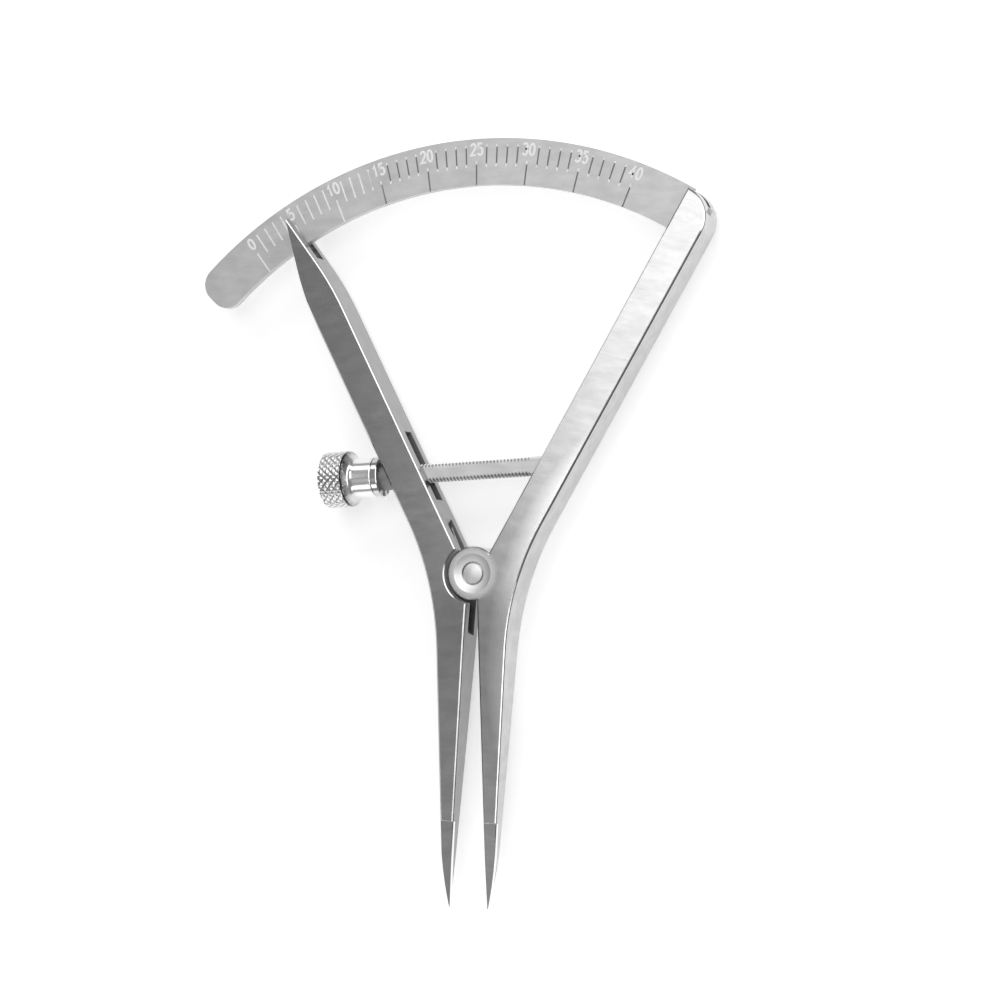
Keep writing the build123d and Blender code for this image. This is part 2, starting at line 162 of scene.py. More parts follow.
# Ground lines and soft blotches of the steel, drawn out along the grain
grain_along = 4.0 * MM
grain_across = 0.05 * MM
grain_depth = 0.003 * MM
blotch_along = 4.0 * MM
blotch_across = 1.6 * MM
blotch_dark = 0.86              # darkest blotch, as a share of the steel's grey
blotch_limits = (0.35, 0.65)    # of the noise, from the darkest blotch to none
noise_low = 0.3                 # what the noise mostly lies between
noise_high = 0.7
noise_detail = 4.0
noise_roughness = 0.6

# How level a surface is, from 0 where it is upright to 1. The pairs are soft steps.
side_step = (0.2, 0.5)          # an arm's sides lie below this
chamfer_low_step = (0.5, 0.6)   # its chamfers lie between these two
chamfer_high_step = (0.8, 0.9)
front_step = (0.9, 0.98)        # and its front above this
upright_face = 0.3              # faces up to this are upright
level_face = 0.9                # and past this level
groove_face = 0.95              # the V-grooves' walls lie between upright_face and this

# Edges of the arms' front, with a painted shade on the lower part of their chamfers
edge_line = 0.125 * MM          # the edge chamfers are bright down to this depth
edge_blur = 0.012 * MM
leg_bend = (-1.27 * MM, -9.13 * MM)     # along Y, where the legs' front bends down
leg_bend_radius = 150 * MM
leg_end = -30 * MM                      # from the bend's end the front falls evenly to here
leg_slope = 0.0524
joint_reach = 4.0 * MM          # over this stretch above the pivot the painted shade's grey on the chamfers changes

# Upper edge of the needles, along which a painted highlight runs: places along Y and heights
needle_root = (-30.0 * MM, 3.38 * MM)
needle_middle = (-34.3 * MM, 3.07 * MM)
needle_tip = (-40.3 * MM, 2.44 * MM)
needle_line = 0.6 * MM          # the painted highlight on the needles' sides reaches down to this depth
needle_highlight_grey = 0.98

# Painted highlight along the rim of the scale arm's outer bend
bend_centre = (39.47 * MM, -10.62 * MM)
bend_edge = 35.2 * MM
rim_reach = 2.4 * MM

# Painted highlight in the dish round the pin's head, fading out between two distances from the
# pivot
halo_inner = 1.6 * MM
halo_outer = 3.4 * MM
halo_floor = 0.26 * MM          # the bore round the head stays plain below this depth
dish_depth = 0.22 * MM

# Slots and recess of the arms
milled_depth = 0.6 * MM         # level faces deeper than this below the front are milled
milled_reach = (-10 * MM, 35 * MM)      # along Y, where the slots lie
recess_wall = 3.9 * MM          # the wall round the joint stands inside this radius

# Etched marks
groove_depth = 0.12 * MM
tick_ends = (52.4 * MM, 49.85 * MM)     # both ends of the short graduations, from the pivot
long_tick_end = 50.3 * MM
tick_end_reach = 0.2 * MM
tick_end_blur = 0.1 * MM
painted_reflection_fade = (-17 * MM, -14 * MM)     # along X, where a painted reflection turns the graduations from light to dark
etched_light = 1.0
etched_dark = 0.28
etched_roughness = 0.7
speckle_size = 0.15 * MM
speckle_share = 0.08            # how dark the etched marks' speckles get

# Grooves of the knurled head
groove_share = "groove_share"   # attribute that holds how deep a point lies in a groove
groove_dark_from = 0.45         # share of the depth where the dark tone starts
neck_share = 0.6                # how far the neck takes that tone

# Studio
floor_reach = 40.0
floor_gap = 0.02 * MM
floor_white = 0.9
floor_roughness = 0.9
floor_lift = 0.46               # what the floor adds where it is seen, to reach white
world_grey = 0.27


def new_object(name, data):
    piece = bpy.data.objects.new(name, data)
    bpy.context.scene.collection.objects.link(piece)
    return piece


def new_mesh(name, points, faces, smooth=True):
    """Mesh with outward normals from points and faces."""
    mesh = bpy.data.meshes.new(name)
    mesh.from_pydata([tuple(p) for p in points], [], faces)
    work = bmesh.new()
    work.from_mesh(mesh)
    bmesh.ops.remove_doubles(work, verts=work.verts, dist=weld_distance)
    bmesh.ops.recalc_face_normals(work, faces=work.faces)
    work.to_mesh(mesh)
    work.free()
    mesh.polygons.foreach_set("use_smooth", [smooth] * len(mesh.polygons))
    return mesh


def smooth_by_angle(piece, angle):
    """Edges sharper than the angle stay crisp."""
    work = bmesh.new()
    work.from_mesh(piece.data)
    for edge in work.edges:
        sharp = len(edge.link_faces) != 2 or edge.calc_face_angle() > radians(angle)
        edge.smooth = not sharp
    work.to_mesh(piece.data)
    work.free()


def screw_frame(origin):
    """Matrix whose X runs along the screw towards the nut and whose Z is up."""
    y_dir = Vector((0, 0, 1)).cross(to_nut)
    turn = Matrix((to_nut, y_dir, Vector((0, 0, 1)))).transposed()
    return Matrix.Translation(origin) @ turn.to_4x4()


def screw_place(point, origin):
    """How far a point lies along the screw from an origin, and how far off its line."""
    from_origin = point - origin
    along = from_origin.dot(to_nut)
    return along, (from_origin - to_nut * along).length


# Material nodes

def new_material(name):
    material = bpy.data.materials.new(name)
    material.use_nodes = True
    return material, material.node_tree


def add(tree, kind, **values):
    """New node with its inputs set by name, and its properties too."""
    node = tree.nodes.new(kind)
    for key, value in values.items():
        if key in node.inputs:
            node.inputs[key].default_value = value
        else:
            setattr(node, key, value)
    return node


def feed(tree, node, sockets):
    """Gives a node's sockets their values, each a number or another node's output."""
    for socket, value in sockets.items():
        if isinstance(value, (int, float)):
            node.inputs[socket].default_value = value
        else:
            tree.links.new(value, node.inputs[socket])


def combined(tree, operation, first, second):
    """Two values put together by an operation, such as ADD."""
    node = add(tree, "ShaderNodeMath", operation=operation)
    feed(tree, node, {0: first, 1: second})
    return node.outputs["Value"]


def absolute(tree, source):
    """Value without its sign."""
    node = add(tree, "ShaderNodeMath", operation="ABSOLUTE")
    tree.links.new(source, node.inputs[0])
    return node.outputs["Value"]


def blended(tree, share, first, second):
    """Mix of two values."""
    node = add(tree, "ShaderNodeMix", data_type="FLOAT")
    feed(tree, node, {0: share, 2: first, 3: second})
    return node.outputs[0]


def ranged(tree, source, low, high, from_low=noise_low, from_high=noise_high):
    """Value mapped to a range and kept inside it."""
    limits = {"From Min": from_low, "From Max": from_high, "To Min": low, "To Max": high}
    node = add(tree, "ShaderNodeMapRange", **limits)
    tree.links.new(source, node.inputs["Value"])
    return node.outputs["Result"]


def object_place(tree):
    """Places on the piece itself, which the finish follows when the piece moves."""
    return add(tree, "ShaderNodeTexCoord").outputs["Object"]


def axis_place(tree, axis):
    """One coordinate of the place on the piece."""
    axes = add(tree, "ShaderNodeSeparateXYZ")
    tree.links.new(object_place(tree), axes.inputs["Vector"])
    return axes.outputs[axis]


def flat_distance(tree, centre=(0, 0)):
    """Distance in the XY plane from a centre, which is the pivot where none is given."""
    from_centre = add(tree, "ShaderNodeVectorMath", operation="SUBTRACT")
    from_centre.inputs[1].default_value = (*centre, 0)
    flat = add(tree, "ShaderNodeVectorMath", operation="MULTIPLY")
    flat.inputs[1].default_value = (1, 1, 0)
    reach = add(tree, "ShaderNodeVectorMath", operation="LENGTH")
    tree.links.new(object_place(tree), from_centre.inputs[0])
    tree.links.new(from_centre.outputs["Vector"], flat.inputs[0])
    tree.links.new(flat.outputs["Vector"], reach.inputs[0])
    return reach.outputs["Value"]


def levelness(tree):
    """1 where the surface is level, 0 where it is upright."""
    axes = add(tree, "ShaderNodeSeparateXYZ")
    tree.links.new(add(tree, "ShaderNodeTexCoord").outputs["Normal"], axes.inputs["Vector"])
    return absolute(tree, axes.outputs["Z"])


def stretched_noise(tree, along, across, angle):
    """Noise drawn out along a direction of the XY plane, as grinding leaves it."""
    turn = add(tree, "ShaderNodeMapping", Rotation=(0, 0, radians(-angle)))
    stretch = add(tree, "ShaderNodeMapping", Scale=(1 / along, 1 / across, 1 / across))
    noise = add(tree, "ShaderNodeTexNoise", Scale=1.0, Detail=noise_detail,
                Roughness=noise_roughness)
    tree.links.new(object_place(tree), turn.inputs["Vector"])
    tree.links.new(turn.outputs["Vector"], stretch.inputs["Vector"])
    tree.links.new(stretch.outputs["Vector"], noise.inputs["Vector"])
    return noise.outputs["Fac"]


def colour_grey(tree, tone):
    """Joins a tone to the shader as a neutral colour."""
    colour = add(tree, "ShaderNodeCombineColor")
    for channel in ("Red", "Green", "Blue"):
        tree.links.new(tone, colour.inputs[channel])
    tree.links.new(colour.outputs["Color"], tree.nodes["Principled BSDF"].inputs["Base Color"])


# Materials

def edge_shadow(tree):
    """1 on the lower part of the chamfer round an arm's front, where a painted shade darkens it,
    0 elsewhere.
    """
    along = axis_place(tree, "Y")
    start, end = leg_bend
    bent = ranged(tree, along, start - end, 0, end, start)
    bent_squared = combined(tree, "MULTIPLY", bent, bent)
    bend_drop = combined(tree, "MULTIPLY", bent_squared, 1 / (2 * leg_bend_radius))
    slope_drop = ranged(tree, along, (end - leg_end) * leg_slope, 0, leg_end, end)
    drop = combined(tree, "ADD", bend_drop, slope_drop)
    raised = combined(tree, "ADD", axis_place(tree, "Z"), drop)
    line = arm_top - edge_line
    below = ranged(tree, raised, 1, 0, line - edge_blur, line)
    level = levelness(tree)
    above_sides = ranged(tree, level, 0, 1, *chamfer_low_step)
    below_front = ranged(tree, level, 1, 0, *chamfer_high_step)
    leaning = combined(tree, "MULTIPLY", above_sides, below_front)
    return combined(tree, "MULTIPLY", below, leaning)


def needle_edge(tree):
    """1 on the upper part of the needles' upright sides, where a painted highlight lightens them,
    0 elsewhere.
    """
    along = axis_place(tree, "Y")
    tip, tip_top = needle_tip
    middle, middle_top = needle_middle
    root, root_top = needle_root
    far_top = ranged(tree, along, tip_top, middle_top, tip, middle)
    near_rise = ranged(tree, along, 0, root_top - middle_top, middle, root)
    top = combined(tree, "ADD", far_top, near_rise)
    drop = combined(tree, "SUBTRACT", top, axis_place(tree, "Z"))
    shallow = ranged(tree, drop, 1, 0, needle_line, needle_line + edge_blur)
    upright = ranged(tree, levelness(tree), 1, 0, *side_step)
    on_needle = ranged(tree, along, 1, 0, root - edge_blur, root)
    on_side = combined(tree, "MULTIPLY", upright, on_needle)
    return combined(tree, "MULTIPLY", shallow, on_side)


def bend_rim(tree):
    """Up to 1 on the front at the edge of the scale arm's outer bend, where a painted highlight
    lightens it, 0 elsewhere.
    """
    from_bend = flat_distance(tree, bend_centre)
    at_rim = ranged(tree, from_bend, 1, 0, bend_edge, bend_edge + rim_reach)
    on_front = ranged(tree, levelness(tree), 0, 1, *front_step)
    return combined(tree, "MULTIPLY", at_rim, on_front)


def pin_dish(tree):
    """1 in the dish round the pin's head, which gets a painted highlight, 0 away from it and down
    in the bore.
    """
    height = axis_place(tree, "Z")
    in_dish = ranged(tree, height, 0, 1, arm_top - halo_floor, arm_top - dish_depth)
    near_pin = ranged(tree, flat_distance(tree), 1, 0, halo_inner, halo_outer)
    return blended(tree, in_dish, 0, near_pin)


def steel(name, grey, roughness, spread=0.04, relief=0.1, grain=0, side=None, edge=None,
          rim=None, halo=None):
    """Ground steel: fine lines in the bump and roughness, soft blotches in the tone.

    spread is how far the roughness goes up and down, and grain the direction of the lines.
    side is the grey of upright faces where it differs, a darker painted shade. edge gives the
    greys of the painted shade on the chamfers' lower part, on the leg and on the upper arm, and
    brings in the painted highlight on the needles' sides. rim is the grey of a painted highlight
    at the edge of the arm's outer bend. halo gives the grey of a painted highlight in the dish
    round the pin's head, and its roughness.
    """
    material, tree = new_material(name)
    shader = tree.nodes["Principled BSDF"]
    shader.inputs["Metallic"].default_value = 1.0
    lines = stretched_noise(tree, grain_along, grain_across, grain)
    blotch = stretched_noise(tree, blotch_along, blotch_across, grain)
    tone = ranged(tree, blotch, grey * blotch_dark, grey, *blotch_limits)
    rough = ranged(tree, lines, roughness - spread, roughness + spread)
    # Painted highlight at the edge of the outer bend.
    if rim:
        tone = blended(tree, bend_rim(tree), tone, rim)
    # Upright faces get the side grey where one is given, a darker painted shade.
    if side:
        side_shade_tone = ranged(tree, blotch, side * blotch_dark, side)
        off_side = ranged(tree, levelness(tree), 0, 1, *side_step)
        tone = blended(tree, off_side, side_shade_tone, tone)
    if edge:
        # Painted shade on the lower part of the chamfers.
        shadow = ranged(tree, axis_place(tree, "Y"), *edge, 0, joint_reach)
        tone = blended(tree, edge_shadow(tree), tone, shadow)
        # Painted highlight on the upper part of the needles' sides.
        tone = blended(tree, needle_edge(tree), tone, needle_highlight_grey)
    # Painted highlight in the dish round the pin's head, with the dish's own roughness.
    if halo:
        in_dish = pin_dish(tree)
        tone = blended(tree, in_dish, tone, halo[0])
        rough = blended(tree, in_dish, rough, halo[1])
    colour_grey(tree, tone)
    tree.links.new(rough, shader.inputs["Roughness"])
    bump = add(tree, "ShaderNodeBump", Strength=relief, Distance=grain_depth)
    tree.links.new(lines, bump.inputs["Height"])
    tree.links.new(bump.outputs["Normal"], shader.inputs["Normal"])
    return material


def knurled_steel(name, grey, groove_grey, roughness):
    """Bright steel that is darker down in the grooves of the knurling."""
    material, tree = new_material(name)
    shader = tree.nodes["Principled BSDF"]
    shader.inputs["Metallic"].default_value = 1.0
    shader.inputs["Roughness"].default_value = roughness
    depth = add(tree, "ShaderNodeAttribute", attribute_name=groove_share).outputs["Fac"]
    colour_grey(tree, ranged(tree, depth, grey, groove_grey, groove_dark_from, 1))
    return material


def etched_white(name, darken=None, highlight_ends=()):
    """Matt etched marks, white, or turned darker past a stretch along X by a painted reflection.

    darken is that stretch. The ends passed in are the distances from the pivot at which a painted
    highlight keeps them white.
    """
    material, tree = new_material(name)
    tree.nodes["Principled BSDF"].inputs["Roughness"].default_value = etched_roughness
    speckle = stretched_noise(tree, speckle_size, speckle_size, 0)
    plain = etched_light
    # Painted reflection: the graduations turn from light to dark along X.
    if darken:
        plain = ranged(tree, axis_place(tree, "X"), etched_light, etched_dark, *darken)
    tone = blended(tree, ranged(tree, speckle, 0, speckle_share), plain, etched_dark)
    # Painted highlights keep the graduations' ends white.
    for end in highlight_ends:
        away = absolute(tree, combined(tree, "SUBTRACT", flat_distance(tree), end))
        near = ranged(tree, away, 1, 0, tick_end_reach, tick_end_reach + tick_end_blur)
        tone = blended(tree, near, tone, etched_light)
    colour_grey(tree, tone)
    return material


# Dressing

def dress(node, material):
    """Gives a CAD node its finish."""
    piece = frame["nodes"][node]
    piece.data.materials.clear()
    piece.data.materials.append(material)


def add_piece(piece, material, slot, body, *nodes):
    """Gives a new piece its finish and its body, and hides the nodes that it stands for."""
    piece.data.materials.append(material)
    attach(piece, body)
    if nodes:
        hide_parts(*nodes)


def dress_faces(piece, material, chosen):
    """Gives some faces of a piece a finish of their own."""
    piece.data.materials.append(material)
    last = len(piece.data.materials) - 1
    for face in piece.data.polygons:
        if chosen(face):
            face.material_index = last


def is_milled(face):
    """Level faces down in an arm's slots."""
    low, high = milled_reach
    deep = face.center.z < arm_top - milled_depth
    return deep and face.normal.z > level_face and low < face.center.y < high


def in_recess(face):
    """Upright wall of the recess that the other arm's cheek turns in, which gets a painted light.
    """
    reach = hypot(face.center.x, face.center.y)
    return reach < recess_wall and abs(face.normal.z) < upright_face


def in_groove(face):
    """Walls of the arc's V-grooves."""
    leaning = upright_face < face.normal.z < groove_face
    return leaning and face.center.z > arc_top - groove_depth


def in_long_groove(face):
    """Walls of the long graduations, which stand under the figures."""
    if not in_groove(face):
        return False
    turned = zero_direction - degrees(atan2(face.center.y, face.center.x))
    reading = 2 * leg_length * sin(radians(turned / 2)) / MM
    return abs(reading / figure_every - round(reading / figure_every)) < reading_slack


def in_thread(face):
    """Deep parts of the screw's thread, off its flats, which get a painted shade."""
    along, radius = screw_place(face.center, screw_pin)
    on_flat = abs(face.center.z - screw_pin.z) > screw_flats / 2 - nut_edge
    deep = radius < screw_radius - thread_depth * thread_light
    return along > thread_start and deep and not on_flat


def in_nose(face):
    """Narrow part of the washer, which gets a painted shade as it stands in the arm's shadow."""
    along, _ = screw_place(face.center, washer_seat)
    return along < step_start


# Pieces

def round_rows(profile, sides):
    """Rings of points about the screw's line, one for each place along it and its radius."""
    turns = [2 * pi * i / sides for i in range(sides)]
    return [[(x, radius * cos(turn), radius * sin(turn)) for turn in turns]
            for x, radius in profile]


def ring_mesh(name, rows, origin, closed):
    """Mesh through rings of points given along X, placed on the screw's line."""
    count = len(rows[0])
    points = [point for row in rows for point in row]
    faces = []
    last = len(rows) if closed else len(rows) - 1
    for r in range(last):
        upper, lower = r * count, ((r + 1) % len(rows)) * count
        for i in range(count):
            following = (i + 1) % count
            faces.append((upper + i, upper + following, lower + following, lower + i))
    if not closed:
        faces.append(tuple(range(count)))
        faces.append(tuple(range((len(rows) - 1) * count, len(rows) * count)))
    mesh = new_mesh(name, points, faces)
    mesh.transform(screw_frame(origin))
    piece = new_object(name, mesh)
    smooth_by_angle(piece, crisp_angle)
    return piece


def neck_profile():
    """Hollow round from the nut's stem up to its head."""
    profile = []
    for step in range(neck_steps + 1):
        turn = radians(neck_sweep) * step / neck_steps
        profile.append((neck_start + neck_round * sin(turn),
                        stem_radius + neck_round * (1 - cos(turn))))
    return profile


def knurl_height(across, along):
    """Height from 0 to 1 of crossed knurling, in turns of its two helices."""
    left = abs((along + across) % 1 - 0.5) * 2
    right = abs((along - across) % 1 - 0.5) * 2
    return min(1 - left, 1 - right)


def knurled_row(x, sides):
    """Ring of points on the knurled head."""
    pitch = 2 * pi * head_radius / knurl_count
    limit = head_radius - max(0, outer_chamfer - (head_end - x), nut_edge - (x - knurl_start))
    row = []
    for i in range(sides):
        turn = 2 * pi * i / sides
        height = knurl_height(knurl_count * i / sides, (x - knurl_start) / pitch)
        radius = min(limit, head_radius - knurl_depth * (1 - height))
        row.append((x, radius * cos(turn), radius * sin(turn)))
    return row


def make_nut():
    """Plain stem and diamond-knurled head, about the screw's line."""
    sides = knurl_count * steps_per_ridge
    stem = [(stem_start, nut_bore),
            (stem_start, stem_radius - nut_edge),
            (stem_start + nut_edge, stem_radius)]
    relief = [(relief_start, head_radius - shoulder_drop),
              (relief_start + nut_edge, head_radius - relief_drop),
              (knurl_start - nut_edge, head_radius - relief_drop)]
    outer_end = [(head_end, head_radius - outer_chamfer - nut_edge),
                 (head_end, nut_bore + nut_edge),
                 (head_end - nut_edge, nut_bore)]
    rows = round_rows(stem + neck_profile() + relief, sides)
    for step in range(steps_along + 1):
        x = knurl_start + (head_end - knurl_start) * step / steps_along
        rows.append(knurled_row(x, sides))
    rows += round_rows(outer_end, sides)
    piece = ring_mesh("knurled_nut_dressed", rows, washer_seat, closed=True)
    mark_grooves(piece)
    return piece


def mark_grooves(piece):
    """Stores on each point how deep it lies below the knurled head's outside, 0 to 1."""
    shares = piece.data.attributes.new(groove_share, "FLOAT", "POINT")
    for point, share in zip(piece.data.vertices, shares.data):
        along, radius = screw_place(point.co, washer_seat)
        if knurl_start < along < head_end - outer_chamfer:
            share.value = (head_radius - radius) / knurl_depth
        elif relief_start < along <= knurl_start:
            share.value = 1.0
        elif neck_start < along <= relief_start:
            share.value = neck_share


def hole_row(x, margin):
    """Ring of points round the washer's flat-sided hole, wider by a margin."""
    sides = 4 * hole_steps
    radius = hole_radius + margin
    flat = hole_flat + margin
    row = []
    for i in range(sides):
        turn = 2 * pi * i / sides
        row.append((x, radius * cos(turn), max(-flat, min(flat, radius * sin(turn)))))
    return row


def make_washer():
    """Round-nosed washer, stepped up to the stem's size, with its flat-sided hole."""
    nose = []
    for step in range(nose_steps + 1):
        x = -nose_length * (1 - step / nose_steps)
        nose.append((x, sqrt(nose_radius**2 - x**2)))
    collar = [(step_start - nut_edge, nose_radius),
              (step_start, nose_radius + nut_edge),
              (step_start, stem_radius - nut_edge),
              (step_start + nut_edge, stem_radius),
              (washer_end - nut_edge, stem_radius),
              (washer_end, stem_radius - nut_edge)]
    rows = [hole_row(nut_edge - nose_length, 0), hole_row(-nose_length, nut_edge)]
    rows += round_rows(nose + collar, 4 * hole_steps)
    rows.append(hole_row(washer_end, 0))
    return ring_mesh("seat_washer_dressed", rows, washer_seat, closed=True)


def screw_section(x, depth):
    """Flat-sided section of the screw with the thread cut to a depth on its round sides."""
    flat_angle = asin(screw_flats / 2 / screw_radius)
    points = []
    for side in (0, pi):
        for i in range(edge_steps + 1):
            angle = side - flat_angle + 2 * flat_angle * i / edge_steps
            ridge = abs((x / thread_pitch - angle / (2 * pi)) % 1 - 0.5) * 2
            radius = screw_radius - depth * ridge
            z = screw_radius * sin(angle)
            points.append((x, sqrt(radius**2 - z**2) * (1 if side == 0 else -1), z))
    return points


def screw_end():
    """Farthest place of the screw's node along its own line."""
    vertices = frame["nodes"]["adjusting_screw"].data.vertices
    return max((vertex.co - screw_pin).dot(to_nut) for vertex in vertices)


def make_screw():
    """Thread on the screw's rounded edges, with the plain eye end of the CAD node."""
    threaded = screw_end() - thread_start
    steps = int(threaded / thread_pitch * steps_per_pitch)
    rows = []
    for step in range(steps + 1):
        x = thread_start + threaded * step / steps
        run_in = min(1.0, (x - thread_start) / thread_pitch)
        rows.append(screw_section(x, thread_depth * run_in))
    piece = ring_mesh("adjusting_screw_dressed", rows, screw_pin, closed=False)
    join(piece, eye_end())
    smooth_by_angle(piece, crisp_angle)
    return piece


def eye_end():
    """Copy of the screw's node, cut off where its thread starts."""
    mesh = frame["nodes"]["adjusting_screw"].data.copy()
    mesh.materials.clear()
    work = bmesh.new()
    work.from_mesh(mesh)
    bmesh.ops.remove_doubles(work, verts=work.verts, dist=weld_distance)
    cut = screw_pin + to_nut * thread_start
    everything = list(work.verts) + list(work.edges) + list(work.faces)
    bmesh.ops.bisect_plane(work, geom=everything, plane_co=cut, plane_no=to_nut, clear_outer=True)
    open_edges = [edge for edge in work.edges if len(edge.link_faces) == 1]
    bmesh.ops.holes_fill(work, edges=open_edges, sides=0)
    bmesh.ops.recalc_face_normals(work, faces=work.faces)
    work.to_mesh(mesh)
    work.free()
    return new_object("screw_eye", mesh)


def join(target, other):
    """Adds another piece's mesh to a piece, and removes the other."""
    work = bmesh.new()
    work.from_mesh(target.data)
    work.from_mesh(other.data)
    work.to_mesh(target.data)
    work.free()
    bpy.data.objects.remove(other)


def spring_feet():
    """Ends of the spring's two legs, read from its node: pointer side low, scale side high."""
    points = [v.co for v in frame["nodes"]["spring"].data.vertices]
    feet = []
    for side in (-1, 1):
        far = max(p.x * side for p in points)
        near_far = far - 2 * wire_radius
        tip = [p for p in points if p.x * side > near_far and p.y > 2 * coil_radius]
        top = max(p.y for p in tip)
        end = [p for p in tip if p.y > top - wire_radius]
        middle = sum(end, Vector()) / len(end)
        feet.append(Vector((middle.x, middle.y, pivot.z + side * leg_level)))
    return feet


def make_spring():
    """Round wire: leg, coil, leg. Each leg leaves the coil along its tangent."""
    low_foot, high_foot = spring_feet()
    reach = hypot(high_foot.x, high_foot.y)
    leaves = degrees(atan2(high_foot.y, high_foot.x) - acos(coil_radius / reach))
    start = 180 - leaves
    turned = 360 * (coil_full_turns + 1) - (start - leaves)
    centres = [low_foot]
    for step in range(coil_steps + 1):
        share = step / coil_steps
        angle = radians(start + turned * share)
        level = pivot.z - leg_level + 2 * leg_level * share
        centres.append(Vector((coil_radius * cos(angle), coil_radius * sin(angle), level)))
    centres.append(high_foot)
    mesh = tube("spring_wire", centres, wire_radius, wire_sides)
    return new_object("spring_wire", mesh)


def tube(name, centres, radius, sides):
    """Capped tube that follows points."""
    points, faces = [], []
    for i, centre in enumerate(centres):
        ahead = centres[min(i + 1, len(centres) - 1)]
        behind = centres[max(i - 1, 0)]
        run = (ahead - behind).normalized()
        side = run.cross(Vector((0, 0, 1))).normalized()
        up = side.cross(run)
        for k in range(sides):
            angle = 2 * pi * k / sides
            points.append(centre + side * radius * cos(angle) + up * radius * sin(angle))
    for i in range(len(centres) - 1):
        for k in range(sides):
            following = (k + 1) % sides
            faces.append((i * sides + k, i * sides + following,
                          (i + 1) * sides + following, (i + 1) * sides + k))
    faces.append(tuple(range(sides)))
    faces.append(tuple(range((len(centres) - 1) * sides, len(centres) * sides)))
    return new_mesh(name, points, faces)


def arc_points(centre, size, start, end, steps=10):
    """Points of a part of an ellipse, angles in degrees."""
    points = []
    for i in range(steps + 1):
        angle = radians(start + (end - start) * i / steps)
        points.append((centre[0] + size[0] * cos(angle), centre[1] + size[1] * sin(angle)))
    return points


# Strokes of each figure, in widths from its middle and heights from its foot
FIGURES = {
    "0": [arc_points((0, 0.5), (0.5, 0.5), 0, 360, 24)],
    "1": [[(-0.3, 0.72), (0.05, 1.0), (0.05, 0.0)]],
    "2": [arc_points((0, 0.72), (0.46, 0.28), 170, -30, 12) + [(-0.5, 0.0), (0.5, 0.0)]],
    "3": [arc_points((-0.03, 0.75), (0.44, 0.25), 155, -90, 12),
          arc_points((-0.03, 0.26), (0.5, 0.26), 90, -155, 12)],
    "4": [[(0.2, 0.0), (0.2, 1.0), (-0.5, 0.3), (0.5, 0.3)]],
    "5": [[(0.42, 1.0), (-0.36, 1.0), (-0.42, 0.55)]
          + arc_points((-0.02, 0.32), (0.5, 0.32), 125, -150, 14)],
}


def stroke_ribbon(line, points, faces, width, top, bottom):
    """Adds a ribbon with thickness along a line of 2-D points."""
    count = len(line)
    closed = (Vector(line[0]) - Vector(line[-1])).length < same_place
    first = len(points)
    for i, place in enumerate(line):
        here = Vector(place)
        if closed:
            ahead = Vector(line[i + 1 if i < count - 1 else 1])
            behind = Vector(line[i - 1 if i > 0 else count - 2])
        else:
            ahead = Vector(line[min(i + 1, count - 1)])
            behind = Vector(line[max(i - 1, 0)])
        before = here - behind if here != behind else ahead - here
        after = ahead - here if ahead != here else before
        before.normalize()
        run = (before + after.normalized()).normalized()
        side = Vector((-run.y, run.x)) * width / 2 / max(sharpest_mitre, run.dot(before))
        for level in (top, bottom):
            points.append((here.x + side.x, here.y + side.y, level))
            points.append((here.x - side.x, here.y - side.y, level))
    for i in range(count - 1):
        a, b = first + i * 4, first + (i + 1) * 4
        faces.append((a, a + 1, b + 1, b))
        faces.append((a + 2, b + 2, b + 3, a + 3))
        faces.append((a, b, b + 2, a + 2))
        faces.append((a + 1, a + 3, b + 3, b + 1))
    if not closed:
        last = first + (count - 1) * 4
        faces.append((first, first + 2, first + 3, first + 1))
        faces.append((last, last + 1, last + 3, last + 2))


def tick_turn(reading):
    """Angle that the pointer turns through from touching points to a reading, in degrees."""
    return 2 * degrees(asin(reading * MM / (2 * leg_length)))


def make_figures():
    """Numbers 0 to 40 above the long graduations, their feet towards the pivot."""
    points, faces = [], []
    for reading in range(0, scale_span + 1, figure_every):
        turn = radians(zero_direction - tick_turn(reading))
        place = Matrix.Rotation(turn - pi / 2, 4, "Z")
        text = str(reading)
        for k, figure in enumerate(text):
            shift = (k - (len(text) - 1) / 2) * figure_step
            for line in FIGURES[figure]:
                spot = [(shift + x * figure_width,
                         figure_radius + (y - 0.5) * figure_height) for x, y in line]
                first = len(points)
                stroke_ribbon(spot, points, faces, stroke_width,
                              arc_top + stroke_rise, arc_top - stroke_rise)
                for i in range(first, len(points)):
                    points[i] = place @ Vector(points[i])
    return new_object("arc_figures", new_mesh("arc_figures", points, faces, smooth=False))


# Setting

# Softboxes: name, place, what they face, width, height, radiance
LAMPS = [
    ("overhead", (-0.004, 0.16, 0.40), (-0.004, 0.16, 0.0), 0.28, 0.31, 1.6),
    ("low_box", (-0.16, -0.14, 0.40), (-0.16, -0.14, 0.0), 0.14, 0.16, 0.18),
    ("back_strip", (-0.15, 0.50, 0.30), (0, 0, 0), 0.8, 0.22, 1.5),
    ("front_strip", (-0.15, -0.50, 0.30), (0, 0, 0), 0.8, 0.22, 1.5),
    ("right_strip", (0.395, 0.19, 0.155), (0, 0, 0), 0.82, 0.15, 2.7),
]


def add_softbox(name, place, aim, width, height, radiance):
    lamp = bpy.data.lights.new(name, "AREA")
    lamp.shape = "RECTANGLE"
    lamp.size = width
    lamp.size_y = height
    lamp.energy = radiance * pi * width * height
    holder = new_object(name, lamp)
    holder.location = place
    holder.rotation_euler = (Vector(aim) - Vector(place)).to_track_quat("-Z", "Y").to_euler()


